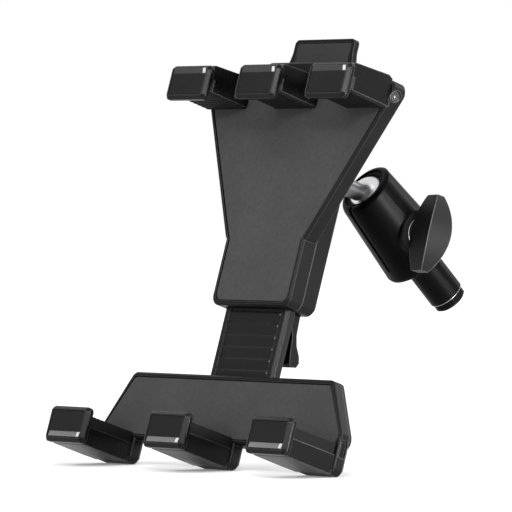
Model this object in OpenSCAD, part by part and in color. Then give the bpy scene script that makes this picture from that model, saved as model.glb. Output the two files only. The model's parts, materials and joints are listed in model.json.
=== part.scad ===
// Phone and tablet holder: a V-shaped back plate with three fixed upper hooks, a sliding lower jaw
// with three more hooks, a release lever, and a ball joint on a clamp arm that ends in a round post.
// X is across the holder, Y runs from the front face to the back, Z is up along the slide.
// The origin is on the front face, on the centre line, level with the centre of the ball.

/* [Back plate] */
// Half width of the lower column
column_half = 22.6; // [21.5:0.1:24]
// Height of the flat bottom end below the origin
column_bottom = 60.1; // [57:0.1:62]
// Height of the raised centre above the origin
centre_top = 40.3; // [38:0.1:42]
// Height of the V wings above the origin
wing_top = 32.4; // [32:0.1:34]
// Sideways run of the V edge for each unit of height
wing_slope = 0.51; // [0.48:0.01:0.55]
// Thickness of the V wings
wing_t = 7.2; // [7:0.1:7.6]
// Whole depth of the column
column_t = 15.8; // [15.6:0.1:17]
// Radius of the wings' top corners
wing_r = 4.5; // [3:0.1:5]

/* [Slide] */
// Half width of the slide bar
slide_half = 18.3; // [17.5:0.1:18.6]
// Distance from the front face to the slide's front
slide_front = 4.3; // [4.2:0.1:4.6]
// Thickness of the slide bar
slide_t = 4.2; // [3.8:0.1:4.4]
// Height of the slide's upper end above the origin
slide_top = 10; // [6:0.5:11]
// Spacing of the ridges
ridge_pitch = 4.75; // [4:0.05:5.5]

/* [Lower jaw] */
// Height of the jaw's upper edge below the origin
jaw_top = 88.55; // [88:0.05:92]
// Half width of the jaw at its widest
jaw_half = 69.3; // [69:0.1:70]
// Depth of the jaw plate
jaw_t = 7; // [6.8:0.1:8]
// Height of the jaw's lower edge between the hooks, below the origin
jaw_bottom = 116.2; // [115:0.1:118]
// Height of the hook feet below the origin
foot_bottom = 125.4; // [124.5:0.1:126.5]

/* [Hooks] */
// Spacing of the upper hooks
top_spacing = 40.3; // [38:0.1:41]
// Half width of an upper hook's frame
top_half = 11.7; // [10:0.1:12]
// Reach of the upper hooks in front of the front face
top_reach = 23.6; // [20:0.1:27]
// Spacing of the lower hooks
bottom_spacing = 58.6; // [57:0.1:58.9]
// Half width of a lower hook's frame
bottom_half = 11.6; // [9:0.1:12]
// Reach of the lower hooks in front of the front face
bottom_reach = 27.2; // [22:0.1:30]

/* [Ball joint and arm] */
// Distance from the front face to the centre of the ball
ball_y = 50.3; // [48:0.1:54]
// Diameter of the ball
ball_d = 17; // [16.8:0.1:17.2]
// How far the arm dips below the square position, in degrees
arm_dip = 29.3; // [22:0.1:34]
// How far the arm is swung to the right, in degrees
arm_swing = 7.2; // [0:0.1:10]
// Diameter of the post
post_d = 14.6; // [12:0.1:15]
// Length of the knob's wings, tip to tip
knob_l = 33; // [28:0.5:36]

/* [Hidden] */
$fn = 64;
HULL_FN = 32;
// Clearance of sliding faces, and radial clearance of turning fits
slide_gap = 0.25;
turn_gap = 0.05;

// Front pad and its groove
rim_w = 1.7;
groove_w = 0.4;
pad_seat = 1.2;
pad_t = 1.0;
// Half width of the V at the height of the origin, and the height where it meets the column
edge_x = 39.9;
waist_z = (column_half - edge_x) / wing_slope;
edge_lean = sqrt(1 + wing_slope * wing_slope);

// Tab behind the hooks, with its pad
tab_half = 17.2;
tab_top = 52;
tab_t = 2.5;
tab_pad_half = 15.2;
tab_pad_z = [centre_top - 1.7, 50.6];

// Screws of the back plate
body_screw_x = 26.5;
BODY_SCREW_Z = [20, -8];

// Hooks: heights of the arms, lips and grips
top_arm_z = [21.5, 33.4];
top_arm_half = top_half - 0.5;
top_frame_z = [17.5, 31.6];
top_frame_t = 3.4;
top_grip_z = 20.6;
bottom_arm_z = [-foot_bottom, -117.8];
bottom_arm_half = 9.6;
bottom_frame_z = [-125.2, -110.7];
bottom_frame_t = 3.6;
bottom_grip_z = -113.5;
hook_bevel = 1.4;
grip_pitch = 2.2;
// Where the lower hooks' roots begin, just in front of the jaw's face, and their grips end
root_start = -0.2;
// Side window of the jaw in which the outer lower hooks' snaps show
snap_y = [1.6, 4.2];
snap_z = [-118.2, -112];
pin_y = 2.5;
pin_z = 26;
pin_r = 1.2;
pin_head_r = 2.2;
pin_head_x = 52.2;
pin_head_t = 1.2;

// Jaw
jaw_corner_r = 3;
jaw_seam = 4.6;
foot_half = 10.7;
jaw_lean = 0.54;
boss_back = 9.7;
slide_screw_x = 11;
SLIDE_SCREW_Z = [-94, -103];
jaw_screw_x = 50;
jaw_screw_z = -104;

// Slide, rack and channel
slide_bottom = -107;
rail_w = 3.3;
rail_chamfer = 1.7;
track_depth = 0.9;
rack_half = 4;
rack_pitch = 2.4;
channel_front = slide_front - slide_gap;
channel_back = slide_front + slide_t + slide_gap;
channel_half = slide_half + slide_gap;

// Release lever
lever_half = 15;
lever_pin = [11.4, -46];
lever_pin_r = 1.5;
lever_room_z = -32;
lever_room_y = 14.2;

// Ball joint
ball_r = ball_d / 2;
flange_r = 16;
flange_t = 6;
stem_r = 5;
neck_r = 3.6;
flange_screw_r = 12.4;

// Clamp arm, stations measured from the ball's centre along the arm
mouth_s = -5.4;
mouth_tilt = 6.5;
mouth_r = 12;
arm_end_s = 33.9;
arm_end_r = 14.75;
liner_r = 9.6;
liner_end_s = 10.5;
knob_s = 20.2;
boss_x = 13.6;
boss_r = 9.4;
washer_t = 0.7;
bolt_r = 3;
bolt_blind_x = -10.5;
knob_low_x = boss_x + washer_t;
knob_high_x = 26.4;
knob_w = 11.2;
knob_turn = 60;
// How much lower the knob's outer face is at the tips than in the middle
knob_drop = 5.4;
spigot_r = 5.5;
spigot_s = 28;
cap_s = 52.9;
cap_flat_r = 6.7;
post_end_s = 56.6;
// Rounding of the mouth's lip, and the radius of the lip where it begins
lip_r = 2.2;
lip_start_r = 9.95;

SIDES = ["left", "middle", "right"];

// General shapes

// Cylinder along +Y from y0 to y1 at [x, z]
module y_rod(x, z, r, y0, y1) {
  translate([x, y0, z]) rotate([-90, 0, 0]) cylinder(r = r, h = y1 - y0);
}

// Cylinder along +X from x0 to x1 at [y, z]
module x_rod(y, z, r, x0, x1) {
  translate([x0, y, z]) rotate([0, 90, 0]) cylinder(r = r, h = x1 - x0);
}

// Box from one corner to the opposite one
module box(low, high) {
  translate(low) cube(high - low);
}

// Disc along +Y with its front and back edges cut at 45 degrees
module edge_puck(r, t, front_cut, back_cut) {
  rotate([-90, 0, 0])
    rotate_extrude($fn = HULL_FN)
      polygon([[0, 0], [r - front_cut, 0], [r, front_cut], [r, t - back_cut], [r - back_cut, t], [0, t]]);
}

// Plate that fills the outline round its corners [x, z, radius], from y0 to y1
module soft_plate(corners, y0, y1, front_cut, back_cut) {
  hull()
    for (c = corners)
      translate([c[0], y0, c[1]]) edge_puck(c[2], y1 - y0, front_cut, back_cut);
}

// Straight prism along +Y of a 2D outline drawn in X and Z
module y_prism(y0, y1) {
  translate([0, y1, 0]) rotate([90, 0, 0]) linear_extrude(y1 - y0) children();
}

// Straight prism along +X of a 2D outline drawn in Y and Z
module x_prism(x0, x1) {
  translate([x0, 0, 0]) rotate([90, 0, 90]) linear_extrude(x1 - x0) children();
}

// Rectangle with round corners, centred at [cx, cz]
module round_rect(cx, cz, half_w, half_h, r) {
  hull()
    for (sx = [-1, 1], sz = [-1, 1])
      translate([cx + sx * (half_w - r), cz + sz * (half_h - r)]) circle(r = r, $fn = HULL_FN);
}

function mirrored(c) = [[-c[0], c[1], c[2]], c];
function hook_x(spacing, i) = (i - 1) * spacing;

// Outlines

// Corners of the V, drawn in by an inset
function wing_corners(inset) = let (
    r_top = max(wing_r - inset, 1),
    r_low = 2,
    z_top = wing_top - inset - r_top,
    z_low = waist_z + 3,
    x_top = edge_x + wing_slope * z_top - edge_lean * (r_top + inset),
    x_low = edge_x + wing_slope * z_low - edge_lean * (r_low + inset))
  concat(mirrored([x_top, z_top, r_top]), mirrored([x_low, z_low, r_low]));

// Corners of the column between a top height and the bottom end, drawn in by an inset
function column_corners(inset, top) = let (
    r_low = 4 - inset / 2,
    r_top = 2,
    half = column_half - inset)
  concat(mirrored([half - r_top, top - r_top, r_top]),
         mirrored([half - r_low, -column_bottom + inset + r_low, r_low]));

// Corners of the jaw plate, drawn in by an inset
function jaw_corners(inset) = let (
    lean = sqrt(1 + jaw_lean * jaw_lean),
    r_top = max(jaw_corner_r - inset / 2, 1),
    r_low = 5 - inset / 2,
    z_top = -jaw_top - inset - r_top,
    x_top = jaw_half - jaw_lean * (z_top + 110) - lean * (r_top + inset))
  concat(mirrored([x_top, z_top, r_top]),
         mirrored([jaw_half - inset - r_low, -jaw_bottom + inset + r_low, r_low]));

// Foot of the jaw under hook i, up to a height
function foot_corners(i, top) = let (
    x0 = max(hook_x(bottom_spacing, i) - foot_half, -jaw_half),
    x1 = min(hook_x(bottom_spacing, i) + foot_half, jaw_half),
    r = 3)
  [[x0 + r, -foot_bottom + r, r], [x1 - r, -foot_bottom + r, r], [x0 + r, top - r, r], [x1 - r, top - r, r]];

// Back plate

// Sides of the pad's opening for upper hook i; the outer openings run out over the V's edges
function hook_low_x(i) = hook_x(top_spacing, i) - ((i == 0) ? 2 : 1) * top_arm_half;
function hook_high_x(i) = hook_x(top_spacing, i) + ((i == 2) ? 2 : 1) * top_arm_half;

module front_pad_outline(inset, y0, y1, cut) {
  difference() {
    union() {
      soft_plate(wing_corners(rim_w + inset), y0, y1, cut, 0);
      soft_plate(column_corners(rim_w + inset, 10), y0, y1, cut, 0);
    }
    // The hooks' roots stand in openings of the pad, which keeps a groove's width away from them
    for (i = [0:2])
      box([hook_low_x(i) - inset, y0 - 1, top_arm_z[0] - inset],
          [hook_high_x(i) + inset, y1 + 1, wing_top + 1]);
  }
}

module slide_channel() {
  box([-channel_half, channel_front, -column_bottom - 1], [channel_half, channel_back, 37]);
}

// Pocket in the plate for the root tongue of upper hook i
module top_pocket(i, gap) {
  x = hook_x(top_spacing, i);
  depth = (i == 1) ? channel_front - 0.25 : 4.8;
  box([x - 6 - gap, pad_seat - 1, 23 - gap], [x + 6 + gap, depth + (gap > 0 ? 0.15 : 0), 31 + gap]);
}

module front_shell() color("#242526") {
  difference() {
    union() {
      soft_plate(wing_corners(0), 0, wing_t, 0.8, 1);
      soft_plate(column_corners(0, centre_top), 0, wing_t, 0.8, 0);
    }
    front_pad_outline(0, -1, pad_seat, 0);
    // Seats for the hooks' roots
    for (i = [0:2])
      box([hook_x(top_spacing, i) - top_arm_half, -1, top_arm_z[0]],
          [hook_x(top_spacing, i) + top_arm_half, pad_seat, wing_top - 1]);
    slide_channel();
    for (i = [0:2]) top_pocket(i, 0.1);
    x_rod(pin_y, pin_z, pin_r, -60, 60);
    for (s = [-1, 1])
      x_rod(pin_y, pin_z, pin_head_r + 0.1, s * (pin_head_x + 3) - 3.6, s * (pin_head_x + 3) + 3.6);
    for (s = [-1, 1], z = BODY_SCREW_Z) y_rod(s * body_screw_x, z, 1.1, 2.2, wing_t + 1);
  }
}

module front_pad() color("#4c4e50") {
  front_pad_outline(groove_w, pad_seat - pad_t, pad_seat, 0.3);
}

module hook_pin() color("#55585b") {
  x_rod(pin_y, pin_z, pin_r, -pin_head_x, pin_head_x);
  for (s = [-1, 1])
    x_rod(pin_y, pin_z, pin_head_r, s * pin_head_x - pin_head_t / 2, s * pin_head_x + pin_head_t / 2);
}

module rear_tab() {
  // Tab that stands behind the hooks, wider at its foot
  y_prism(wing_t, wing_t + tab_t) {
    round_rect(0, (tab_top + centre_top - 4) / 2, tab_half, (tab_top - centre_top + 4) / 2, 2);
    polygon([[-tab_half - 2, centre_top - 2], [-tab_half, centre_top + 6],
             [tab_half, centre_top + 6], [tab_half + 2, centre_top - 2]]);
  }
}

module rear_shell() color("#202122") {
  difference() {
    union() {
      soft_plate(column_corners(0, centre_top), wing_t, column_t, 0, 1.6);
      rear_tab();
      // Ears for the screws
      for (s = [-1, 1], z = BODY_SCREW_Z) {
        y_rod(s * body_screw_x, z, 3.6, wing_t, wing_t + 2.4);
        box([s * (body_screw_x - 3) - 3, wing_t, z - 3.6],
            [s * (body_screw_x - 3) + 3, wing_t + 2.4, z + 3.6]);
      }
    }
    slide_channel();
    // Recess of the tab's pad
    y_prism(wing_t - 1, wing_t + 0.9) tab_pad_outline(0);
    // Room for the lever and its spring, open at the bottom and, below, at the back
    box([-lever_half - 0.3, channel_back - 1, -column_bottom - 1],
        [lever_half + 0.3, lever_room_y, lever_room_z]);
    box([-lever_half - 0.3, 10, -column_bottom - 1], [lever_half + 0.3, column_t + 1, -50.5]);
    x_rod(lever_pin[0], lever_pin[1], lever_pin_r, -19.5, 19.5);
    // Holes for the flange's screws and the body's screws
    for (a = [45:90:315]) y_rod(flange_screw_r * cos(a), flange_screw_r * sin(a), 1.25, 9.6, column_t + 1);
    for (s = [-1, 1], z = BODY_SCREW_Z) y_rod(s * body_screw_x, z, 1.5, wing_t - 1, wing_t + 4);
  }
}

module tab_pad_outline(inset) {
  round_rect(0, (tab_pad_z[0] + tab_pad_z[1]) / 2, tab_pad_half - inset,
             (tab_pad_z[1] - tab_pad_z[0]) / 2 - inset, 1.4 - inset);
}

module tab_pad() color("#4c4e50") {
  y_prism(wing_t + 0.1, wing_t + 0.9) tab_pad_outline(0.3);
}

// Pan-head screw along -Y with its head's top at y
module pan_screw(x, z, y, head_r, head_h, r, l) {
  difference() {
    union() {
      y_rod(x, z, head_r, y - head_h, y);
      y_rod(x, z, r, y - head_h - l, y - head_h);
    }
    for (a = [0, 90])
      translate([x, y, z]) rotate([0, a, 0]) cube([head_r * 1.2, head_h, 0.6], center = true);
  }
}

module body_screws() color("#6a6d70") {
  for (s = [-1, 1], z = BODY_SCREW_Z) pan_screw(s * body_screw_x, z, wing_t + 4, 2.6, 1.6, 1.1, 5.5);
}

// Upper hooks

module hook_window(half, z0, z1, y0) {
  y_prism(y0 - 1, y0 + 0.9) round_rect(0, (z0 + z1) / 2, half - 1.7, (z1 - z0) / 2 - 1.7, 1);
}

// Front frame of a hook, a plate with bevelled edges
module hook_frame(half, z, y, t) {
  r = 2;
  soft_plate(concat(mirrored([half - r, z[0] + r, r]), mirrored([half - r, z[1] - r, r])),
             y, y + t, hook_bevel, 0.6);
}

module top_hook(i) color("#161718") {
  x = hook_x(top_spacing, i);
  y_front = -top_reach;
  y_back = y_front + top_frame_t;
  difference() {
    union() {
      translate([x, 0, 0]) hook_frame(top_half, top_frame_z, y_front, top_frame_t);
      // Arm from the frame to the seat in the plate
      x_prism(x - top_arm_half, x + top_arm_half)
        polygon([[y_front + 1.8, top_arm_z[0]], [y_front + 1.8, top_frame_z[1] - 0.7],
                 [y_back, top_arm_z[1] - 1.2], [-2, top_arm_z[1]], [0, top_arm_z[1] - 1],
                 [0, wing_top - 1], [pad_seat, wing_top - 1], [pad_seat, top_arm_z[0]]]);
      intersection() {
        top_pocket(i, 0);
        box([x - 8, pad_seat - 0.2, 20], [x + 8, 10, 34]);
      }
    }
    translate([x, 0, 0]) hook_window(top_half, top_frame_z[0], top_frame_z[1] + 0.8, y_front);
    // Shallow seat of the rubber grip, and the slit at its front end
    box([x - top_arm_half + 0.7, y_back, top_arm_z[0] - 1],
        [x + top_arm_half - 0.7, -0.6, top_arm_z[0] + 0.8]);
    box([x + top_arm_half - 0.6, y_back + 0.5, top_arm_z[0] - 1],
        [x + top_half, y_back + 1.1, top_arm_z[0] + 5]);
    x_rod(pin_y, pin_z, pin_r, x - 20, x + 20);
  }
}

module top_grip(i) color("#101112") {
  x = hook_x(top_spacing, i);
  x_prism(x - top_arm_half + 0.7, x + top_arm_half - 0.7)
    polygon(concat(
      [[-top_reach + top_frame_t, top_arm_z[0] + 0.8], [-0.6, top_arm_z[0] + 0.8], [-0.6, top_grip_z]],
      [for (k = [0:7]) each [[-2.2 - grip_pitch * k, top_grip_z], [-2.6 - grip_pitch * k, top_grip_z + 0.4],
                             [-3.0 - grip_pitch * k, top_grip_z]]],
      [[-top_reach + top_frame_t, top_grip_z]]));
}

// Flat inlay of a hook's front frame; the ledge lies on the side away from the lip's edge
module hook_inlay(x, half, z0, z1, y0, ledge_up) {
  hw = half - 2.0;
  z_low = z0 + 2.0;
  z_high = z1 - 2.0;
  ledge = 2.3;
  translate([x, 0, 0]) {
    y_prism(y0 + 0.3, y0 + 0.9)
      round_rect(0, (z_low + z_high + (ledge_up ? -ledge : ledge)) / 2,
                 hw, (z_high - z_low - ledge) / 2, 0.8);
    // Slanting ledge beside the flat
    x_prism(-hw + 0.4, hw - 0.4)
      polygon(ledge_up
        ? [[y0 + 0.9, z_high], [y0 + 0.9, z_high - ledge], [y0 + 0.7, z_high - ledge], [y0 + 0.25, z_high]]
        : [[y0 + 0.9, z_low], [y0 + 0.25, z_low], [y0 + 0.7, z_low + ledge], [y0 + 0.9, z_low + ledge]]);
  }
}

module top_inlay(i) color("#2e3032") {
  hook_inlay(hook_x(top_spacing, i), top_half, top_frame_z[0], top_frame_z[1] + 0.8, -top_reach, true);
}

// Slide and lower jaw

function ridge_profile(y_low, y_high, pitch, z0, n) =
  [for (k = [0:n - 1]) each [[y_low, z0 + k * pitch], [y_high, z0 + k * pitch + pitch * 0.75],
                             [y_high, z0 + k * pitch + pitch * 0.92]]];

module slide_bar() color("#1d1e1f") {
  rack_y = slide_front + slide_t;
  track_z = -jaw_top - 1;
  track_y = slide_front + track_depth;
  ridges = floor((slide_top - 2 - track_z) / ridge_pitch);
  teeth = floor((slide_top - 2 + 84) / rack_pitch);
  difference() {
    box([-slide_half, slide_front, slide_bottom], [slide_half, rack_y, slide_top]);
    // Ridged track on the front
    x_prism(-slide_half + rail_w, slide_half - rail_w)
      polygon(concat([[slide_front - 1, track_z]],
                     ridge_profile(track_y, track_y - 0.55, ridge_pitch, track_z, ridges),
                     [[slide_front - 1, track_z + ridges * ridge_pitch]]));
    // Narrow rack on the back for the pawl
    x_prism(-rack_half, rack_half)
      polygon(concat([[rack_y + 1, -84]],
                     [for (k = [0:teeth - 1]) each [[rack_y - 1, -84 + k * rack_pitch],
                                                    [rack_y, -84 + (k + 0.85) * rack_pitch]]],
                     [[rack_y + 1, -84 + teeth * rack_pitch]]));
    for (s = [-1, 1], z = SLIDE_SCREW_Z) y_rod(s * slide_screw_x, z, 1.3, slide_front - 1, rack_y + 1);
    // Long chamfers on the front edges of the rails
    for (s = [-1, 1])
      translate([s * slide_half, slide_front, (slide_bottom + slide_top) / 2])
        rotate([0, 0, 45]) cube([rail_chamfer, rail_chamfer, slide_top - slide_bottom + 2], center = true);
  }
}

// Root tongue of lower hook i; the outer hooks add a snap that reaches the jaw's side
module bottom_socket(i, gap) {
  x = hook_x(bottom_spacing, i);
  box([x - 7 - gap, -1, -123.4 - gap], [x + 7 + gap, 4.2 + gap / 2, -117.2 + gap]);
  inner = bottom_spacing + 2 - gap;
  outer = jaw_half - 0.8 + gap * 20;
  if (i != 1)
    box([i == 0 ? -outer : inner, snap_y[0] - gap, snap_z[0] - gap],
        [i == 0 ? -inner : outer, snap_y[1] + gap / 2, snap_z[1] + gap]);
}

module jaw_front_shell() color("#242526") {
  difference() {
    union() {
      soft_plate(jaw_corners(0), 0, jaw_seam, 0.8, 0);
      for (i = [0:2]) soft_plate(foot_corners(i, -jaw_bottom + 6), 0, jaw_seam, 0.4, 0);
    }
    soft_plate(jaw_corners(rim_w), -1, pad_seat, 0, 0);
    // Way in for the slide bar from above
    box([-slide_half, slide_front, slide_bottom], [slide_half, jaw_seam + 1, -jaw_top + 1]);
    for (i = [0:2]) bottom_socket(i, 0.05);
    // Windows in the sides, a little larger than the snaps
    for (s = [-1, 1])
      box([s * jaw_half - 2.4, snap_y[0] - 1, snap_z[0] - 0.3],
          [s * jaw_half + 2.4, snap_y[1] + 0.2, snap_z[1] + 0.3]);
    for (s = [-1, 1]) y_rod(s * jaw_screw_x, jaw_screw_z, 1.1, 2.4, jaw_seam + 1);
    for (s = [-1, 1], z = SLIDE_SCREW_Z) y_rod(s * slide_screw_x, z, 1.1, 2.8, jaw_seam + 1);
  }
}

module jaw_rear_shell() color("#202122") {
  slide_back = slide_front + slide_t;
  difference() {
    union() {
      soft_plate(jaw_corners(0), jaw_seam, jaw_t, 0, 1.2);
      for (i = [0:2]) soft_plate(foot_corners(i, -jaw_bottom + 6), jaw_seam, jaw_t, 0, 2.2);
      // Raised boss that holds the slide's lower end
      soft_plate(concat(mirrored([19, -jaw_top - 3, 2]), mirrored([19, -108, 2])),
                 jaw_seam, boss_back, 0, 0.8);
    }
    box([-slide_half, jaw_seam - 1, slide_bottom], [slide_half, slide_back, -jaw_top + 1]);
    for (s = [-1, 1], z = SLIDE_SCREW_Z) y_rod(s * slide_screw_x, z, 2.6, slide_back - 1, boss_back + 1);
    for (s = [-1, 1]) y_rod(s * jaw_screw_x, jaw_screw_z, 1.3, jaw_seam - 1, jaw_t + 1);
  }
}

module jaw_pad() color("#4c4e50") {
  soft_plate(jaw_corners(rim_w + groove_w), pad_seat - pad_t, pad_seat, 0.3, 0);
}

module jaw_screws() color("#6a6d70") {
  for (s = [-1, 1], z = SLIDE_SCREW_Z) pan_screw(s * slide_screw_x, z, boss_back, 2.4, 1.2, 1.1, 5.7);
  for (s = [-1, 1]) pan_screw(s * jaw_screw_x, jaw_screw_z, jaw_t + 1.6, 2.4, 1.6, 1.1, 4.6);
}

module bottom_hook(i) color("#161718") {
  x = hook_x(bottom_spacing, i);
  y_front = -bottom_reach;
  difference() {
    union() {
      translate([x, 0, 0]) hook_frame(bottom_half, bottom_frame_z, y_front, bottom_frame_t);
      x_prism(x - bottom_arm_half, x + bottom_arm_half)
        polygon([[y_front + 1.8, bottom_frame_z[0] + 0.6], [y_front + 5, bottom_frame_z[0]],
                 [-8, -foot_bottom], [0, -foot_bottom], [0, bottom_arm_z[1]],
                 [y_front + 1.8, bottom_arm_z[1]]]);
      intersection() {
        bottom_socket(i, 0);
        box([x - 12, root_start, -126], [x + 12, 9, -110]);
      }
    }
    translate([x, 0, 0]) hook_window(bottom_half, bottom_frame_z[0], bottom_frame_z[1], y_front);
  }
}

module bottom_grip(i) color("#101112") {
  x = hook_x(bottom_spacing, i);
  y_back = -bottom_reach + bottom_frame_t;
  x_prism(x - bottom_arm_half + 0.5, x + bottom_arm_half - 0.5)
    polygon(concat(
      [[y_back, bottom_arm_z[1]], [y_back, bottom_grip_z]],
      [for (k = [0:9]) each [[y_back + 1.2 + grip_pitch * k, bottom_grip_z],
                             [y_back + 1.6 + grip_pitch * k, bottom_grip_z - 0.4],
                             [y_back + 2.0 + grip_pitch * k, bottom_grip_z]]],
      [[root_start, bottom_grip_z], [root_start, bottom_arm_z[1]]]));
}

module bottom_inlay(i) color("#2e3032") {
  hook_inlay(hook_x(bottom_spacing, i), bottom_half, bottom_frame_z[0], bottom_frame_z[1],
             -bottom_reach, false);
}

// Release lever

module release_lever() color("#1b1c1d") {
  difference() {
    union() {
      x_prism(-lever_half, lever_half)
        polygon([[9.9, -43.4], [12.8, -43.4], [12.9, -48], [14.5, -54], [14.5, -61], [14.9, -67.5],
                 [16.2, -71.5], [18.6, -75], [19.4, -77.6], [18.5, -79.6], [16, -80.2], [14.6, -79.2],
                 [13.6, -74], [12.9, -68.5], [11.8, -66], [11.1, -65], [10.7, -61], [10.7, -54],
                 [9.9, -50]]);
      x_rod(lever_pin[0], lever_pin[1], 2.5, -6, 6);
      // Pawl that reaches forward to the rack
      x_prism(-3.4, 3.4)
        polygon([[10.4, -44], [12.2, -44], [11.8, -38.6], [9.6, -37.4], [8.85, -38.2], [8.85, -38.8],
                 [10.2, -40.4]]);
    }
    x_rod(lever_pin[0], lever_pin[1], lever_pin_r + turn_gap, -20, 20);
  }
}

module lever_pin() color("#9a9c9e") {
  x_rod(lever_pin[0], lever_pin[1], lever_pin_r, -19.5, 19.5);
}

// Bent leaf spring behind the pawl
module lever_spring() color("#8f9194") {
  x_prism(-2.6, 2.6)
    polygon([[lever_room_y - 0.3, lever_room_z], [lever_room_y, lever_room_z],
             [lever_room_y, lever_room_z - 1.6], [13.3, -38], [13.05, -39.6], [12.8, -39.4], [13, -38],
             [lever_room_y - 0.3, lever_room_z - 1.4]]);
}

// Ball joint

module pivot_flange() color("#1f2021") {
  y_back = column_t + flange_t;
  difference() {
    translate([0, column_t, 0])
      edge_puck(flange_r, flange_t, 0, 1.2, $fn = 64);
    y_rod(0, 0, stem_r + turn_gap, column_t - 1, y_back + 1);
    y_rod(0, 0, 8.2, column_t - 1, column_t + 3.4);
    for (a = [45:90:315]) {
      y_rod(flange_screw_r * cos(a), flange_screw_r * sin(a), 1.5, column_t - 1, y_back + 1);
      y_rod(flange_screw_r * cos(a), flange_screw_r * sin(a), 2.7, y_back - 1.8, y_back + 1);
    }
  }
}

module flange_screws() color("#6a6d70") {
  for (a = [45:90:315])
    pan_screw(flange_screw_r * cos(a), flange_screw_r * sin(a), column_t + flange_t, 2.5, 1.8, 1.25, 8);
}

// Stem whose foot turns in the flange; its end is hollowed to fit the ball
module ball_stem() color("#c4c6c8") {
  y_out = column_t + flange_t;
  difference() {
    rotate([-90, 0, 0])
      rotate_extrude()
        polygon([[0, column_t + 0.3], [8, column_t + 0.3], [8, column_t + 3.1], [stem_r, column_t + 3.1],
                 [stem_r, y_out + 0.4], [7.4, y_out + 0.4], [7.8, y_out + 0.8], [7.8, y_out + 2.4],
                 [7, y_out + 3.2], [5.6, y_out + 3.4], [4.4, y_out + 6], [neck_r, y_out + 10],
                 [neck_r, ball_y - 6], [0, ball_y - 6]]);
    translate([0, ball_y, 0]) sphere(r = ball_r + turn_gap);
  }
}

module ball() color("#dfe1e3") {
  translate([0, ball_y, 0]) sphere(r = ball_r);
}

// Clamp arm

// Places the arm, which is drawn along +Y from the ball's centre
module arm_place() {
  translate([0, ball_y, 0]) rotate([0, 0, -arm_swing]) rotate([-arm_dip, 0, 0]) children();
}

// Everything in front of the slanting mouth of the socket
module before_mouth(offset_s) {
  translate([0, mouth_s + offset_s, 0]) rotate([mouth_tilt, 0, 0])
    box([-30, -40, -40], [30, 0, 40]);
}

// Everything outside the rounded lip of the mouth
module beyond_lip() {
  translate([0, mouth_s, 0]) rotate([mouth_tilt - 90, 0, 0])
    rotate_extrude()
      difference() {
        translate([lip_start_r, -1]) square([lip_r * 3, lip_r + 1]);
        translate([lip_start_r, lip_r]) circle(r = lip_r);
      }
}

module arm_slit(z_high) {
  box([-0.8, -20, -20], [0.8, knob_s + 7, z_high]);
}

module arm_housing() color("#2b2c2e") arm_place() {
  difference() {
    union() {
      rotate([-90, 0, 0])
        rotate_extrude()
          polygon([[0, -10], [mouth_r - 0.5, -10], [arm_end_r - 0.2, arm_end_s - 1.8],
                   [arm_end_r - 0.6, arm_end_s - 0.7], [arm_end_r - 1.8, arm_end_s], [0, arm_end_s]]);
      x_rod(knob_s, 0, boss_r, 6, boss_x);
    }
    before_mouth(0);
    beyond_lip();
    rotate([-90, 0, 0]) translate([0, 0, -20]) cylinder(r = liner_r, h = 20 + liner_end_s);
    arm_slit(4);
    // Flat seat for the washer, sunk into the widening side of the arm
    x_rod(knob_s, 0, boss_r + 0.4, boss_x, boss_x + 6);
    x_rod(knob_s, 0, bolt_r + turn_gap, bolt_blind_x, boss_x + 1);
    y_rod(0, 0, spigot_r, spigot_s, arm_end_s + 1);
  }
}

module socket_liner() color("#0c0c0d") arm_place() {
  difference() {
    rotate([-90, 0, 0]) translate([0, 0, -14]) cylinder(r = liner_r, h = 14 + liner_end_s);
    before_mouth(0.6);
    sphere(r = ball_r + turn_gap);
    // Flared opening that the stem passes through
    translate([0, mouth_s, 0]) rotate([mouth_tilt, 0, 0]) rotate([90, 0, 0])
      translate([0, 0, -3]) cylinder(r1 = 6.2, r2 = 9.2, h = 4.5);
    arm_slit(0);
  }
}

module knob_washer() color("#101011") arm_place() {
  difference() {
    x_rod(knob_s, 0, boss_r - 0.3, boss_x, boss_x + washer_t);
    x_rod(knob_s, 0, bolt_r + turn_gap, boss_x - 1, boss_x + washer_t + 1);
  }
}

module clamp_bolt() color("#9a9c9e") arm_place() {
  x_rod(knob_s, 0, bolt_r, bolt_blind_x + 0.6, knob_high_x - 6);
}

// Side view of the knob: deep at the hub and shallower at the tips, with a crowned outer face
module knob_side() {
  l = knob_l / 2;
  low = knob_low_x + 0.1;
  crown_r = (l * l + knob_drop * knob_drop) / (2 * knob_drop);
  intersection() {
    polygon([[-7, low], [7, low], [8, low + 0.4], [l - 1.2, low + 0.6], [l, low + 1.8],
             [l, knob_high_x], [-l, knob_high_x], [-l, low + 1.8], [-l + 1.2, low + 0.6],
             [-8, low + 0.4]]);
    translate([0, knob_high_x - crown_r]) circle(r = crown_r, $fn = 180);
  }
}

// Outline of the two wings, seen along the bolt: a long oval with rounded tips
module knob_outline() {
  w = knob_w / 2;
  tip = 2;
  l = knob_l / 2 - tip;
  arc_r = (l * l + (w - tip) * (w - tip)) / (2 * (w - tip)) + tip;
  intersection() {
    translate([0, arc_r - w]) circle(r = arc_r, $fn = 180);
    translate([0, w - arc_r]) circle(r = arc_r, $fn = 180);
    square([2 * l + tip * 1.2, knob_w], center = true);
  }
}

module wing_knob() color("#303133") arm_place() {
  translate([0, knob_s, 0]) rotate([-knob_turn, 0, 0])
    difference() {
      intersection() {
        // Side view lies in the plane of the bolt and the long axis
        translate([0, 0, -knob_w / 2 - 1]) linear_extrude(knob_w + 2)
          rotate(90) mirror([0, 1]) knob_side();
        rotate([90, 0, 90]) linear_extrude(knob_high_x + 2) knob_outline();
      }
      x_rod(0, 0, bolt_r, knob_low_x - 1, knob_high_x - 6);
    }
}

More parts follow.
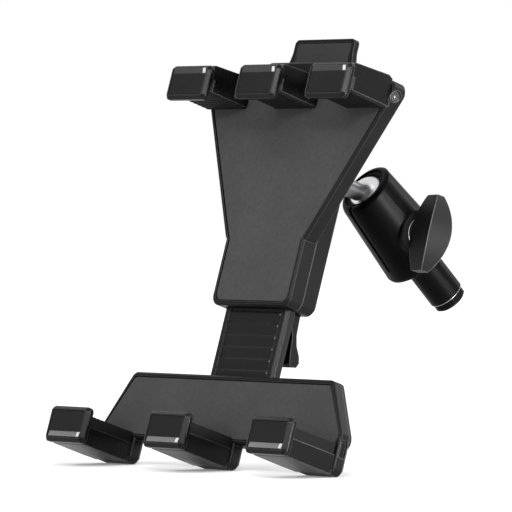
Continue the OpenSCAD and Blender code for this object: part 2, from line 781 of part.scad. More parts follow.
// Post that stands on the arm's end, with a thinner spigot inside the arm
module post() color("#26282a") arm_place() {
  y_rod(0, 0, post_d / 2, arm_end_s, cap_s);
  y_rod(0, 0, spigot_r, spigot_s, arm_end_s);
}

module post_cap() color("#1c1d1e") arm_place() {
  intersection() {
    rotate([-90, 30, 0]) translate([0, 0, cap_s])
      cylinder(r = cap_flat_r / cos(30), h = post_end_s - cap_s, $fn = 6);
    rotate([-90, 0, 0])
      rotate_extrude()
        polygon([[0, cap_s], [post_d / 2 - 0.35, cap_s], [post_d / 2 - 0.05, cap_s + 0.5],
                 [post_d / 2 - 0.05, post_end_s - 1], [post_d / 2 - 1.1, post_end_s], [0, post_end_s]]);
  }
}

front_shell();
front_pad();
rear_shell();
tab_pad();
hook_pin();
body_screws();
for (i = [0:2]) top_hook(i);
for (i = [0:2]) top_grip(i);
for (i = [0:2]) top_inlay(i);
slide_bar();
jaw_front_shell();
jaw_rear_shell();
jaw_pad();
jaw_screws();
for (i = [0:2]) bottom_hook(i);
for (i = [0:2]) bottom_grip(i);
for (i = [0:2]) bottom_inlay(i);
release_lever();
lever_pin();
lever_spring();
pivot_flange();
flange_screws();
ball_stem();
ball();
arm_housing();
socket_liner();
clamp_bolt();
knob_washer();
wing_knob();
post();
post_cap();
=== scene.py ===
# %% [markdown]
# Phone and tablet holder
#
# A black back plate carries three padded hooks. A jaw with three more hooks slides below it,
# and a ball joint on a clamp arm holds the whole from behind. The solids come from the CAD model
# and stay as they are. This script gives them their finishes, adds the small trim that is too
# fine for the solids, and sets up the light, the floor and the camera.

# %% Load the model as a fixed frame
import json
import math
import bpy
from mathutils import Matrix, Vector


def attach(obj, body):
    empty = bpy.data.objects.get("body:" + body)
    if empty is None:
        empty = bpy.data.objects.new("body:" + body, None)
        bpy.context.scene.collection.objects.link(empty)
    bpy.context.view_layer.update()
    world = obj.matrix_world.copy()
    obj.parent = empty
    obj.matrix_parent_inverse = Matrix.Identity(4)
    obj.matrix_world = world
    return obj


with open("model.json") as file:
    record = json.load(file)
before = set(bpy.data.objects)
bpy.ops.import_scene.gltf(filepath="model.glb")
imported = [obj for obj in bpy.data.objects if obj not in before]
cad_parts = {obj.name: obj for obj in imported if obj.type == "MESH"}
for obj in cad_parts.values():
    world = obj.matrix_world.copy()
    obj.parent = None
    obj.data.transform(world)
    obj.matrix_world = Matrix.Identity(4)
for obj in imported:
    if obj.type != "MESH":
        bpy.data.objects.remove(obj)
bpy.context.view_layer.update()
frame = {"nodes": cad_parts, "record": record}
nodes = frame["nodes"]
MM = 0.001

# %% [markdown]
# The camera comes first, because everything else is judged through it. Its place and direction
# were fitted to the picture: it stands far off, to the right of the holder, a little below the
# middle, with a long lens. A long lens keeps the edges nearly parallel, as in a product picture.
# The small shift places the holder in the frame without turning the camera.

# %% Camera
CAMERA_PLACE = Vector((1.5207, -1.3300, -0.4352))
CAMERA_RIGHT = Vector((0.6732, 0.7033, 0.2282))
CAMERA_UP = Vector((-0.0123, -0.2980, 0.9545))
CAMERA_SHIFT = (0.0013, -0.0016)
FOCAL_PIXELS = 5268
FRAME_PIXELS = 512

right = CAMERA_RIGHT.normalized()
back = right.cross(CAMERA_UP).normalized()
up = back.cross(right)
camera_data = bpy.data.cameras.new("camera")
camera_data.lens = camera_data.sensor_width * FOCAL_PIXELS / FRAME_PIXELS
camera_data.shift_x, camera_data.shift_y = CAMERA_SHIFT
camera_data.clip_start = 0.05
camera_data.clip_end = 20
camera = bpy.data.objects.new("camera", camera_data)
bpy.context.scene.collection.objects.link(camera)
turn = Matrix((right, up, back)).transposed().to_4x4()
camera.matrix_world = Matrix.Translation(CAMERA_PLACE) @ turn
bpy.context.scene.camera = camera
print("camera lens", round(camera_data.lens, 1), "mm")

# %% [markdown]
# Moulded plastic and coated metal are never perfectly even. Three effects repeat in all the
# finishes, so each is a node group: a fine grain left by the mould, soft smudges from handling,
# and corners painted paler as a highlight. They could be painted as pictures, but noise in the
# object's own coordinates needs no unwrapped surface. A group has named inputs, and every
# material sets its own values.

# %% Helpers that start a node group and add its nodes
def start_group(name, inputs, outputs):
    group = bpy.data.node_groups.new(name, "ShaderNodeTree")
    for label, default in inputs:
        socket = group.interface.new_socket(label, in_out="INPUT", socket_type="NodeSocketFloat")
        socket.default_value = default
    for label in outputs:
        group.interface.new_socket(label, in_out="OUTPUT", socket_type="NodeSocketFloat")
    enter = group.nodes.new("NodeGroupInput")
    leave = group.nodes.new("NodeGroupOutput")
    return group, enter, leave


def math_node(tree, operation, first, second):
    node = tree.nodes.new("ShaderNodeMath")
    node.operation = operation
    for socket, value in zip(node.inputs, (first, second)):
        if isinstance(value, (int, float)):
            socket.default_value = value
        else:
            tree.links.new(value, socket)
    return node.outputs[0]


def noise_node(tree, scale, detail):
    place = tree.nodes.new("ShaderNodeTexCoord")
    noise = tree.nodes.new("ShaderNodeTexNoise")
    noise.inputs["Detail"].default_value = detail
    tree.links.new(place.outputs["Object"], noise.inputs["Vector"])
    tree.links.new(scale, noise.inputs["Scale"])
    return noise.outputs["Fac"]


print("helpers for node groups are ready")

# %% [markdown]
# The grain is two sizes of noise together. One size alone looks like a printed pattern, and two
# look like the spark-eroded surface of a mould.

# %% Mould grain
COARSE_SHARE = 0.35
grain_group, enter, leave = start_group("mould_grain", [("Scale", 2600.0)], ["Height"])
fine = noise_node(grain_group, enter.outputs["Scale"], 2)
coarse_scale = math_node(grain_group, "MULTIPLY", enter.outputs["Scale"], COARSE_SHARE)
coarse = noise_node(grain_group, coarse_scale, 1)
grain_sum = math_node(grain_group, "ADD", fine, coarse)
grain_group.links.new(math_node(grain_group, "MULTIPLY", grain_sum, 0.5), leave.inputs["Height"])
print("made", grain_group.name)

# %% [markdown]
# Hands leave soft patches a few centimetres wide. Where a patch lies, the surface is a little
# paler and less glossy. Noise makes them too, with its contrast raised so that it has clean
# areas between the patches.

# %% Handling smudges
PATCH_LOW, PATCH_HIGH = 0.35, 0.68
smudge_group, enter, leave = start_group("handling_smudges", [("Scale", 55.0)], ["Mask"])
patches = noise_node(smudge_group, enter.outputs["Scale"], 3)
contrast = smudge_group.nodes.new("ShaderNodeMapRange")
contrast.inputs["From Min"].default_value = PATCH_LOW
contrast.inputs["From Max"].default_value = PATCH_HIGH
smudge_group.links.new(patches, contrast.inputs["Value"])
smudge_group.links.new(contrast.outputs["Result"], leave.inputs["Mask"])
print("made", smudge_group.name)

# %% [markdown]
# A corner is where the rounded normal of a Bevel node turns away from the true one. The
# difference between the two is a mask that is 1 on edges and 0 on flats. The Geometry node's
# pointiness would need a dense mesh for this, because it is worked out at the vertices.

# %% Edge mask
BEVEL_SAMPLES = 8
# The mask marks the corners, where the colour is painted paler as a highlight.
edge_group, enter, leave = start_group(
    "painted_edge_highlight", [("Gain", 3.0), ("Reach", 0.45 * MM)], ["Mask"])
rounded = edge_group.nodes.new("ShaderNodeBevel")
rounded.samples = BEVEL_SAMPLES
edge_group.links.new(enter.outputs["Reach"], rounded.inputs["Radius"])
true_normal = edge_group.nodes.new("ShaderNodeNewGeometry")
agree = edge_group.nodes.new("ShaderNodeVectorMath")
agree.operation = "DOT_PRODUCT"
edge_group.links.new(rounded.outputs["Normal"], agree.inputs[0])
edge_group.links.new(true_normal.outputs["Normal"], agree.inputs[1])
differ = math_node(edge_group, "SUBTRACT", 1.0, agree.outputs["Value"])
gained = math_node(edge_group, "MULTIPLY", differ, enter.outputs["Gain"])
edge_group.links.new(math_node(edge_group, "MINIMUM", gained, 1.0), leave.inputs["Mask"])
print("made", edge_group.name)

# %% [markdown]
# The finishes share one layout, which three small helpers wire together. One places a group with
# its values, one mixes two colours by a mask, and one makes a colour brighter or darker.

# %% Helpers for the layout of a finish
def placed(tree, group, **values):
    node = tree.nodes.new("ShaderNodeGroup")
    node.node_tree = group
    for label, value in values.items():
        node.inputs[label].default_value = value
    return node.outputs[0]


def mix_colour(tree, mask, first, second):
    mix = tree.nodes.new("ShaderNodeMix")
    mix.data_type = "RGBA"
    colours = [s for s in mix.inputs if s.type == "RGBA"]
    for socket, value in zip(colours, (first, second)):
        if isinstance(value, tuple):
            socket.default_value = (*value, 1)
        else:
            tree.links.new(value, socket)
    tree.links.new(mask, mix.inputs["Factor"])
    return next(s for s in mix.outputs if s.type == "RGBA")


def scaled(tree, colour, factor):
    scale = tree.nodes.new("ShaderNodeVectorMath")
    scale.operation = "SCALE"
    tree.links.new(colour, scale.inputs["Vector"])
    tree.links.new(factor, scale.inputs["Scale"])
    return scale.outputs["Vector"]


print("helpers for finishes are ready")

# %% [markdown]
# The colour of every finish is a slightly cool grey. The smudges make it paler in patches, the
# grain gives it a fine speckle, and the edge mask lays a paler grey over the corners as a painted
# highlight.

# %% Colour of a finish
COOL_TINT = 1.02
SMUDGE_PALER = 1.18


def cool_grey(level):
    return (level, level, level * COOL_TINT)


# Lays a painted highlight on the corners, over the smudges and the speckle of the grain.
def colour_with_painted_edge_highlight(tree, smudges, grains, edges, level, edge_highlight_level, speckle):
    colour = cool_grey(level)
    paler = tuple(min(1, c * SMUDGE_PALER) for c in colour)
    mottled = mix_colour(tree, smudges, colour, paler)
    # The grain's high spots are a little paler, which reads as a fine speckle
    swing = math_node(tree, "SUBTRACT", grains, 0.5)
    swing = math_node(tree, "MULTIPLY", swing, 2 * speckle)
    speckled = scaled(tree, mottled, math_node(tree, "ADD", swing, 1.0))
    return mix_colour(tree, edges, speckled, cool_grey(edge_highlight_level))


print("a grey of 0.1 becomes", [round(c, 4) for c in cool_grey(0.1)])

# %% [markdown]
# The relief of a finish is the grain as a bump, with a rounded normal under it. The rounded
# normal gives a corner the small radius of a real moulding, so that it draws a thin line of
# light. Real bevels in the mesh would do the same, but the solids stay as they are.

# %% Relief of a finish
def moulded_normal(tree, grains, depth, radius):
    bump = tree.nodes.new("ShaderNodeBump")
    bump.inputs["Strength"].default_value = 1.0
    bump.inputs["Distance"].default_value = depth * MM
    tree.links.new(grains, bump.inputs["Height"])
    if radius:
        corner = tree.nodes.new("ShaderNodeBevel")
        corner.samples = BEVEL_SAMPLES
        corner.inputs["Radius"].default_value = radius * MM
        tree.links.new(corner.outputs["Normal"], bump.inputs["Normal"])
    return bump.outputs["Normal"]


print("a corner is rounded with", BEVEL_SAMPLES, "samples")

# %% [markdown]
# One function makes a whole material. The shader stays in the material, and the groups feed its
# colour, roughness and normal. What is the same all over a surface, such as the metallic value,
# is set on the shader itself, because an export can only read it there.

# %% The layout that the finishes share
SMUDGE_ROUGHER = 0.06


def finish(name, level, edge_highlight_level, rough, grain, depth, radius, metallic=0.0, specular=0.5,
           edge_gain=3.0, reach=0.45, speckle=0.3):
    material = bpy.data.materials.new(name)
    material.use_nodes = True
    tree = material.node_tree
    shader = tree.nodes["Principled BSDF"]
    shader.inputs["Metallic"].default_value = metallic
    shader.inputs["Specular IOR Level"].default_value = specular
    smudges = placed(tree, smudge_group)
    edges = placed(tree, edge_group, Gain=edge_gain, Reach=reach * MM)
    grains = placed(tree, grain_group, Scale=grain)
    colour = colour_with_painted_edge_highlight(tree, smudges, grains, edges, level, edge_highlight_level, speckle)
    tree.links.new(colour, shader.inputs["Base Color"])
    roughness = math_node(tree, "MULTIPLY", smudges, SMUDGE_ROUGHER)
    roughness = math_node(tree, "ADD", roughness, rough)
    tree.links.new(roughness, shader.inputs["Roughness"])
    normal = moulded_normal(tree, grains, depth, radius)
    tree.links.new(normal, shader.inputs["Normal"])
    return material


print("a smudge adds up to", SMUDGE_ROUGHER, "to the roughness")

# %% [markdown]
# The finishes. Pads are matt charcoal sheet with a fine grain, and the tab's pad is the same sheet
# painted darker as shade. The shells are satin black, the hook frames are polished, and the arm
# and the post are coated metal with broad highlights. The ball is bright and its stem darker. Both
# are turned metal and keep their true normals, so their radius is 0. The hooks' cross pin is
# blackened, and the screws, the bolt, the spring and the lever's pin are plain steel. The ledges
# in the hooks' windows are painted paler as highlights, and their ends nearly white as glints.
# Lengths
# are in millimetres: depth is that of the grain, radius that of a corner, and reach how far the
# painted highlight goes in from an edge.

# %% Finishes
# The edge grey of every finish is the painted highlight on its corners.
FINISHES = {
    "pad": finish("pad_sheet", level=0.043, edge_highlight_level=0.068, rough=0.75, grain=1500,
                  depth=0.03, radius=0.2, specular=0.15),
    "shell": finish("satin_shell", level=0.0035, edge_highlight_level=0.13, rough=0.34, grain=2600,
                    depth=0.006, radius=0.45, specular=0.08, edge_gain=2.4),
    "frame": finish("polished_frame", level=0.003, edge_highlight_level=0.11, rough=0.24, grain=3000,
                    depth=0.0005, radius=0.7, specular=0.085, edge_gain=2.4, reach=0.7),
    "inlay": finish("inlay_sheet", level=0.0112, edge_highlight_level=0.03, rough=0.55, grain=2400,
                    depth=0.01, radius=0.2, specular=0.06),
    "rubber": finish("grip_rubber", level=0.0035, edge_highlight_level=0.009, rough=0.7, grain=2400,
                     depth=0.008, radius=0.25, specular=0.08),
    "slide": finish("slide_moulding", level=0.0085, edge_highlight_level=0.1, rough=0.26, grain=3000,
                    depth=0.002, radius=0.8, specular=0.08, edge_gain=1.5),
    "steel": finish("plain_steel", level=0.3, edge_highlight_level=0.5, rough=0.32, grain=4200,
                    depth=0.01, radius=0.2, metallic=1.0),
    "ball": finish("bright_ball", level=0.62, edge_highlight_level=0.62, rough=0.28, grain=1800,
                   depth=0.001, radius=0, metallic=1.0, edge_gain=0.0, speckle=0.06),
    "stem": finish("darkened_stem", level=0.13, edge_highlight_level=0.13, rough=0.32, grain=1800,
                   depth=0.001, radius=0, metallic=1.0, edge_gain=0.0, speckle=0.06),
    "arm": finish("coated_arm", level=0.0006, edge_highlight_level=0.02, rough=0.36, grain=3600,
                  depth=0.002, radius=0.6, specular=0.045, edge_gain=1.2),
    "knob": finish("knob_moulding", level=0.005, edge_highlight_level=0.3, rough=0.46, grain=2800,
                   depth=0.008, radius=0.4, specular=0.125),
    "post": finish("coated_post", level=0.0006, edge_highlight_level=0.05, rough=0.34, grain=3600,
                   depth=0.002, radius=0.5, specular=0.05, edge_gain=2.0),
    # The tab's pad is the pad sheet painted darker as shade.
    "tab_pad_painted_shade": finish("tab_pad_painted_shade", level=0.03, edge_highlight_level=0.06, rough=0.75, grain=1500,
                        depth=0.03, radius=0.2, specular=0.12),
    "dark_pin": finish("blackened_pin", level=0.012, edge_highlight_level=0.06, rough=0.25, grain=3000,
                       depth=0.002, radius=0.3),
    # The ledges are painted paler as highlights, the lower hooks' ledges much paler than the
    # upper.
    "high_ledge": finish("upper_ledge_painted_highlight", level=0.03, edge_highlight_level=0.05, rough=0.35, grain=3000,
                         depth=0.003, radius=0.15, specular=0.2),
    "low_ledge": finish("lower_ledge_painted_highlight", level=0.125, edge_highlight_level=0.16, rough=0.35, grain=3000,
                        depth=0.003, radius=0.15, specular=0.2),
    # The ledge's end is painted nearly white as a glint.
    "ledge_end": finish("ledge_end_painted_glint", level=0.5, edge_highlight_level=0.2, rough=0.2, grain=3000,
                        depth=0.002, radius=0.2),
}
print("made", len(FINISHES), "materials")

# %% [markdown]
# The model's record names a material slot for every node, and most nodes take the finish of
# their slot. Three look different from the others of their slot, so they are named one by one.

# %% Finishes on the nodes
# The tab's pad takes the darker copy of the pad sheet as painted shade.
OWN_LOOK = {"tab_pad": "tab_pad_painted_shade", "hook_pin": "dark_pin", "ball_stem": "stem"}
slot_of = {row["node"]: row["material_slot"] for row in frame["record"]["subparts"]}
for node_name, node in nodes.items():
    node.data.materials.clear()
    node.data.materials.append(FINISHES[OWN_LOOK.get(node_name, slot_of[node_name])])
print("finished", len(nodes), "nodes")

# %% [markdown]
# The trim is made in mesh code. Every new piece rides on a body of the model, so that it moves
# with it, and takes the finish of the slot it names or a look of its own.

# %% A helper for new pieces
def new_piece(name, points, faces, body, slot, smooth=True, look=None):
    mesh = bpy.data.meshes.new(name)
    mesh.from_pydata(points, [], faces)
    mesh.update()
    for polygon in mesh.polygons:
        polygon.use_smooth = smooth
    piece = bpy.data.objects.new(name, mesh)
    bpy.context.scene.collection.objects.link(piece)
    mesh.materials.append(FINISHES[look or slot])
    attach(piece, body)


# %% [markdown]
# Two thin bright rings lie on the arm, one in the groove round the washer and one where the post
# meets its cap. A ring is a small circle swept round a large one. A torus from the Add menu would
# do as well, but with its points written out a ring is in place at once.

# %% A helper for rings
RING_STEPS = 96
RING_SIDES = 12


def ring(name, centre, axis, large, small, body, slot):
    axis = axis.normalized()
    across = axis.orthogonal().normalized()
    other = axis.cross(across)
    points, faces = [], []
    for i in range(RING_STEPS):
        a = 2 * math.pi * i / RING_STEPS
        out = across * math.cos(a) + other * math.sin(a)
        near, far = i * RING_SIDES, (i + 1) % RING_STEPS * RING_SIDES
        for j in range(RING_SIDES):
            b = 2 * math.pi * j / RING_SIDES
            points.append(centre + out * (large + small * math.cos(b)) * MM
                          + axis * small * math.sin(b) * MM)
            m = (j + 1) % RING_SIDES
            faces.append((near + j, far + j, far + m, near + m))
    new_piece(name, points, faces, body, slot)


print("a ring has", RING_STEPS * RING_SIDES, "faces")

# %% [markdown]
# The arm's direction and the ball's place repeat the values of the CAD source, in millimetres
# and degrees. A place on the arm is given by how far it lies from the ball along the arm, and
# the washer's groove also by how far it lies to the side.

# %% Rings on the arm
BALL_Y = 50.3
ARM_SWING = math.radians(7.2)
ARM_DIP = math.radians(29.3)
KNOB_STATION = 20.2
GROOVE_SIDEWAYS = 14.42
CAP_STATION = 52.9
arm_axis = Vector((math.sin(ARM_SWING) * math.cos(ARM_DIP),
                   math.cos(ARM_SWING) * math.cos(ARM_DIP), -math.sin(ARM_DIP)))
knob_axis = Vector((math.cos(ARM_SWING), -math.sin(ARM_SWING), 0))


def on_arm(station, sideways=0.0):
    return (Vector((0, BALL_Y, 0)) + arm_axis * station + knob_axis * sideways) * MM


ring("washer_ring", on_arm(KNOB_STATION, GROOVE_SIDEWAYS), knob_axis,
     large=6.6, small=0.16, body="arm", slot="steel")
ring("post_seam", on_arm(CAP_STATION), arm_axis,
     large=7.13, small=0.2, body="arm", slot="steel")
print("made the rings on the arm")

# %% [markdown]
# Small raised plates repeat on the slide and on the hooks. Each is a slab whose front is drawn in
# from its back, so that it has the sloping sides a mould would leave. A scaled cube would have
# upright sides. The back may lean, as the ledges in the hooks' windows do.

# %% A helper for slabs with sloping sides
SLAB_FACES = ((3, 2, 1, 0), (4, 5, 6, 7), (0, 1, 5, 4), (1, 2, 6, 5), (2, 3, 7, 6), (3, 0, 4, 7))


def slab(points, faces, xs, zs, ys, thick, taper):
    start = len(points)
    lean = (ys[1] - ys[0]) / (zs[1] - zs[0])
    for forward, inset in ((0.0, 0.0), (thick, taper)):
        x0, x1 = xs[0] + inset, xs[1] - inset
        z0, z1 = zs[0] + inset, zs[1] - inset
        for x, z in ((x0, z0), (x1, z0), (x1, z1), (x0, z1)):
            points.append(Vector((x, ys[0] + lean * (z - zs[0]) - forward, z)) * MM)
    for quad in SLAB_FACES:
        faces.append(tuple(start + q for q in quad))


print("a slab has", len(SLAB_FACES), "faces")

# %% [markdown]
# A row of tiny teeth stands beside the slide's ridges, one at the right-hand end of each. They
# ride on the jaw, as the slide does. The pitch and the place of the track repeat the CAD source's
# values. An array modifier could repeat one tooth, but all of them in one mesh make a plain piece.

# %% Teeth beside the ridges
RIDGE_PITCH = 4.75
TRACK_LOW = -89.55
TRACK_FLOOR = 5.2
RAIL_INNER = 15.0
TOOTH_COUNT = 20
TOOTH_START = 3.2
TOOTH_WIDE, TOOTH_TALL = 0.95, 1.0
TOOTH_LIFT, TOOTH_TAPER = 0.8, 0.2
points, faces = [], []
for k in range(TOOTH_COUNT):
    z = TRACK_LOW + k * RIDGE_PITCH + TOOTH_START
    slab(points, faces, (RAIL_INNER - TOOTH_WIDE, RAIL_INNER), (z, z + TOOTH_TALL),
         (TRACK_FLOOR, TRACK_FLOOR), TOOTH_LIFT, TOOTH_TAPER)
# The teeth take the lower ledges' paler finish as a painted highlight.
new_piece("ridge_teeth", points, faces, "jaw", "slide", smooth=False, look="low_ledge")
print("made", len(faces) // len(SLAB_FACES), "teeth")

# %% [markdown]
# In the window of every hook a leaning ledge lies beside the flat sheet. It is smoother than the
# sheet and painted paler as a highlight, the lower hooks' ledges much paler than the upper ones
# because of how the light falls on them, and its right-hand end is painted nearly white as a
# glint. The ledge is at the top of an upper hook's window and at the bottom of a lower hook's.
# The slab makes it too, once thin for the ledge and once three times as thick for its end.

# %% Ledges in the hooks' windows
LEDGE_LIFT, LEDGE_TAPER = 0.07, 0.1
END_LIFT, END_TAPER = 3 * LEDGE_LIFT, 0.3
END_WIDTH = 1.9
LEDGE_GAP = 0.15
HOOKS = {
    "high": dict(spacing=40.3, half=9.3, z=(28.1, 30.4), y=(-22.9, -23.35), body="holder"),
    "low": dict(spacing=58.6, half=9.2, z=(-123.2, -120.9), y=(-26.95, -26.5), body="jaw"),
}
for row, hook in HOOKS.items():
    for k, place_name in enumerate(("left", "middle", "right")):
        x = (k - 1) * hook["spacing"]
        split = x + hook["half"] - END_WIDTH
        points, faces = [], []
        slab(points, faces, (x - hook["half"], split - LEDGE_GAP), hook["z"], hook["y"],
             LEDGE_LIFT, LEDGE_TAPER)
        new_piece(f"{row}_ledge_{place_name}", points, faces, hook["body"], "inlay",
                  smooth=False, look=row + "_ledge")
        points, faces = [], []
        slab(points, faces, (split, x + hook["half"]), hook["z"], hook["y"], END_LIFT, END_TAPER)
        new_piece(f"{row}_ledge_end_{place_name}", points, faces, hook["body"], "inlay",
                  smooth=False, look="ledge_end")
print("made a ledge in each hook's window")

# %% [markdown]
# The hooks' cross pin is peened over at both ends, which leaves a small dome on the head. A
# quarter circle turned round the pin's axis makes it. A flattened sphere would keep half of its
# faces hidden inside the pin.

# %% Domes on the pin
PIN_FACE_X = 52.8
PIN_Y, PIN_Z = 2.5, 26.0
DOME_HEIGHT, DOME_RADIUS = 0.35, 1.3
DOME_ROWS, DOME_STEPS = 6, 32
for side, label in ((-1, "left"), (1, "right")):
    points, faces = [], []
    for i in range(DOME_ROWS):
        lift = math.radians(90 * i / DOME_ROWS)
        x = side * (PIN_FACE_X + DOME_HEIGHT * math.sin(lift))
        radius = DOME_RADIUS * math.cos(lift)
        for j in range(DOME_STEPS):
            a = side * 2 * math.pi * j / DOME_STEPS
            points.append(Vector((x, PIN_Y + radius * math.cos(a),
                                  PIN_Z + radius * math.sin(a))) * MM)
    points.append(Vector((side * (PIN_FACE_X + DOME_HEIGHT), PIN_Y, PIN_Z)) * MM)
    for i in range(DOME_ROWS - 1):
        low, high = i * DOME_STEPS, (i + 1) * DOME_STEPS
        for j in range(DOME_STEPS):
            k = (j + 1) % DOME_STEPS
            faces.append((low + j, low + k, high + k, high + j))
    last, top = (DOME_ROWS - 1) * DOME_STEPS, len(points) - 1
    faces += [(last + j, last + (j + 1) % DOME_STEPS, top) for j in range(DOME_STEPS)]
    faces.append(tuple(reversed(range(DOME_STEPS))))
    new_piece("pin_dome_" + label, points, faces, "holder", "steel", look="dark_pin")
print("made the pin's domes")

# %% [markdown]
# The holder leans back a little on its feet. The floor is one large plane, square to the
# picture's upright and just below the feet. A plane from the Add menu would have to be turned
# and moved there, so its four corners are written out instead.

# %% Floor
UPRIGHT = Vector((0, -0.302, 0.953)).normalized()
FOOT_EDGE = Vector((0, 4.9, -125.4)) * MM
FLOOR_GAP = 0.05
FLOOR_HALF = 6.0
across = Vector((1, 0, 0))
deep = UPRIGHT.cross(across)
corners = [FOOT_EDGE - UPRIGHT * FLOOR_GAP * MM + across * a * FLOOR_HALF + deep * b * FLOOR_HALF
           for a, b in ((-1, -1), (1, -1), (1, 1), (-1, 1))]
floor_mesh = bpy.data.meshes.new("floor")
floor_mesh.from_pydata(corners, [], [(0, 1, 2, 3)])
floor = bpy.data.objects.new("floor", floor_mesh)
bpy.context.scene.collection.objects.link(floor)
print("floor normal", [round(v, 3) for v in floor_mesh.polygons[0].normal])

# %% [markdown]
# The floor is matt and pale. It adds a little white of its own for the camera and in reflections,
# which brings it up to the white of the background while the shadows stay. That white grows with
# the distance from the holder, where the lamps reach less. More lamp light would do it too, but
# it would also fall on the holder.

# %% The floor's paint
FLOOR_GREY = 0.86
OWN_WHITE = {"From Min": 0.2, "From Max": 1.6, "To Min": 0.16, "To Max": 0.5}
floor_paint = bpy.data.materials.new("floor_paint")
floor_paint.use_nodes = True
tree = floor_paint.node_tree
paint = tree.nodes["Principled BSDF"]
paint.inputs["Base Color"].default_value = (FLOOR_GREY, FLOOR_GREY, FLOOR_GREY, 1)
paint.inputs["Roughness"].default_value = 0.9
paint.inputs["Specular IOR Level"].default_value = 0.0
paint.inputs["Emission Color"].default_value = (1, 1, 1, 1)
rays = tree.nodes.new("ShaderNodeLightPath")
seen = math_node(tree, "MAXIMUM", rays.outputs["Is Camera Ray"], rays.outputs["Is Glossy Ray"])
place = tree.nodes.new("ShaderNodeTexCoord")
distance = tree.nodes.new("ShaderNodeVectorMath")
distance.operation = "LENGTH"
tree.links.new(place.outputs["Object"], distance.inputs[0])
fade = tree.nodes.new("ShaderNodeMapRange")
fade.interpolation_type = "SMOOTHSTEP"
for label, value in OWN_WHITE.items():
    fade.inputs[label].default_value = value
tree.links.new(distance.outputs["Value"], fade.inputs["Value"])
own_white = math_node(tree, "MULTIPLY", seen, fade.outputs["Result"])
tree.links.new(own_white, paint.inputs["Emission Strength"])
floor_mesh.materials.append(floor_paint)
print("painted the floor")

# %% [markdown]
# Seen from below, the floor would hide the underside of the holder. Backfacing tells that side
# from the upper one, so it mixes in a clear shader there, and views from below stay open.

# %% Clear from below
side_of = tree.nodes.new("ShaderNodeNewGeometry")
clear = tree.nodes.new("ShaderNodeBsdfTransparent")
choose = tree.nodes.new("ShaderNodeMixShader")
tree.links.new(side_of.outputs["Backfacing"], choose.inputs["Fac"])
tree.links.new(paint.outputs["BSDF"], choose.inputs[1])
tree.links.new(clear.outputs["BSDF"], choose.inputs[2])
tree.links.new(choose.outputs["Shader"], tree.nodes["Material Output"].inputs["Surface"])
print("the floor has", len(tree.nodes), "shader nodes")

# %% [markdown]
# A pose can bring the jaw's feet lower than the floor, which would then hide them. So the floor
# carries a small modifier made of geometry nodes, which is worked out anew in every pose. Its
# first half measures how high the lowest point of the jaw's rear shell lies along the floor's
# normal.

# %% How low the feet reach
give_way = bpy.data.node_groups.new("floor_gives_way", "GeometryNodeTree")
for in_out in ("INPUT", "OUTPUT"):
    give_way.interface.new_socket("Geometry", in_out=in_out, socket_type="NodeSocketGeometry")


# The statistic has a socket of each name for numbers and one for vectors, and one is in use
def in_use(sockets, label):
    return next(s for s in sockets if s.name == label and s.enabled)


feet = give_way.nodes.new("GeometryNodeObjectInfo")
feet.transform_space = "RELATIVE"
feet.inputs["Object"].default_value = nodes["jaw_rear_shell"]
height = give_way.nodes.new("ShaderNodeVectorMath")
height.operation = "DOT_PRODUCT"
height.inputs[1].default_value = UPRIGHT
point_place = give_way.nodes.new("GeometryNodeInputPosition")
give_way.links.new(point_place.outputs["Position"], height.inputs[0])
lowest = give_way.nodes.new("GeometryNodeAttributeStatistic")
give_way.links.new(feet.outputs["Geometry"], lowest.inputs["Geometry"])
give_way.links.new(height.outputs["Value"], in_use(lowest.inputs, "Attribute"))
print("the floor watches", feet.inputs["Object"].default_value.name)

# %% [markdown]
# The second half compares that height with the floor's own. Where the feet are lower, it moves
# the floor down by the difference, and otherwise not at all. At rest nothing moves, which the
# last line prints.

# %% The floor gives way to the feet
enter = give_way.nodes.new("NodeGroupInput")
leave = give_way.nodes.new("NodeGroupOutput")
floor_height = corners[0].dot(UPRIGHT)
above = math_node(give_way, "SUBTRACT", in_use(lowest.outputs, "Min"), floor_height)
sink = math_node(give_way, "MINIMUM", above, 0.0)
drop = give_way.nodes.new("ShaderNodeVectorMath")
drop.operation = "SCALE"
drop.inputs[0].default_value = UPRIGHT
give_way.links.new(sink, drop.inputs["Scale"])
shift = give_way.nodes.new("GeometryNodeTransform")
give_way.links.new(enter.outputs["Geometry"], shift.inputs["Geometry"])
give_way.links.new(drop.outputs["Vector"], shift.inputs["Translation"])
give_way.links.new(shift.outputs["Geometry"], leave.inputs["Geometry"])
floor.modifiers.new("gives_way", "NODES").node_group = give_way
bpy.context.view_layer.update()
sunk = floor.evaluated_get(bpy.context.evaluated_depsgraph_get()).data.vertices[0].co
print("floor sunk by", round((corners[0] - sunk).length / MM, 4), "mm at rest")

# %% [markdown]
# The background is white for the camera and for reflections. As a source of light it is a little
# dimmer, which leaves a larger share of the light to the lamps. A picture of a studio could
# stand here instead, but even white is what the holder was photographed against.

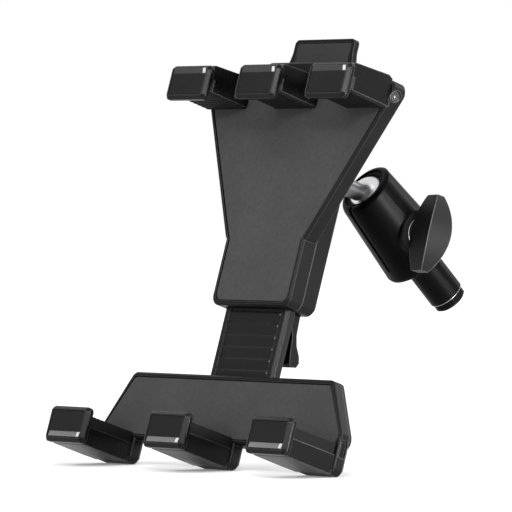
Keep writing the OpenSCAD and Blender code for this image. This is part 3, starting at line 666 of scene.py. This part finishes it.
# %% Background
AMBIENT = 0.8
world = bpy.data.worlds.new("studio")
bpy.context.scene.world = world
world.use_nodes = True
tree = world.node_tree
background = tree.nodes["Background"]
background.inputs["Color"].default_value = (1, 1, 1, 1)
rays = tree.nodes.new("ShaderNodeLightPath")
shown = math_node(tree, "MAXIMUM", rays.outputs["Is Camera Ray"], rays.outputs["Is Glossy Ray"])
shown = math_node(tree, "MAXIMUM", shown, rays.outputs["Is Transmission Ray"])
strength = math_node(tree, "MULTIPLY", shown, 1 - AMBIENT)
tree.links.new(math_node(tree, "ADD", strength, AMBIENT), background.inputs["Strength"])
print("background ready")

# %% [markdown]
# The lamps are placed by their reflections. The large one above makes the soft shadow, the tall
# strip at the right lights the knob, and the low one draws the long highlight on the arm. The
# small one above the camera draws the right-hand bevels, and one behind edges the jaw and the
# arm. The one at the left is for the ball. Directions are the camera's own right, up and back,
# lengths are in metres and powers in watts.

# %% Lamps
MIDDLE = Vector((0, 10, -40)) * MM


def lamp(name, direction, distance, wide, tall, power):
    data = bpy.data.lights.new(name, "AREA")
    data.shape = "RECTANGLE"
    data.size = wide
    data.size_y = tall
    data.energy = power
    source = bpy.data.objects.new(name, data)
    bpy.context.scene.collection.objects.link(source)
    away = direction.normalized()
    source.location = MIDDLE + away * distance
    source.rotation_mode = "QUATERNION"
    source.rotation_quaternion = away.to_track_quat("Z", "Y")


lamp("lamp_above", up * 0.84 - right * 0.29 + back * 0.46,
     distance=1.4, wide=1.0, tall=1.0, power=6)
lamp("lamp_strip", right * 0.85 + up * 0.06 + back * 0.52,
     distance=1.4, wide=0.2, tall=0.5, power=15)
lamp("lamp_low", right * 0.7 - up * 0.1 + back * 0.7,
     distance=0.6, wide=0.16, tall=0.08, power=7.5)
lamp("lamp_camera", up * 0.43 - right * 0.05 + back * 0.9,
     distance=1.6, wide=0.2, tall=0.2, power=10)
lamp("lamp_behind", right * 0.76 + up * 0.44 - back * 0.46,
     distance=1.4, wide=0.35, tall=0.35, power=3)
lamp("lamp_left", back * 0.73 + up * 0.22 - right * 0.65,
     distance=1.6, wide=0.5, tall=0.5, power=3)
print(len(bpy.data.lights), "lamps")

# %% [markdown]
# Standard is the plain view transform, so a colour shows as it is written.

# %% View and sizes
bpy.context.scene.view_settings.view_transform = "Standard"
bpy.context.view_layer.update()
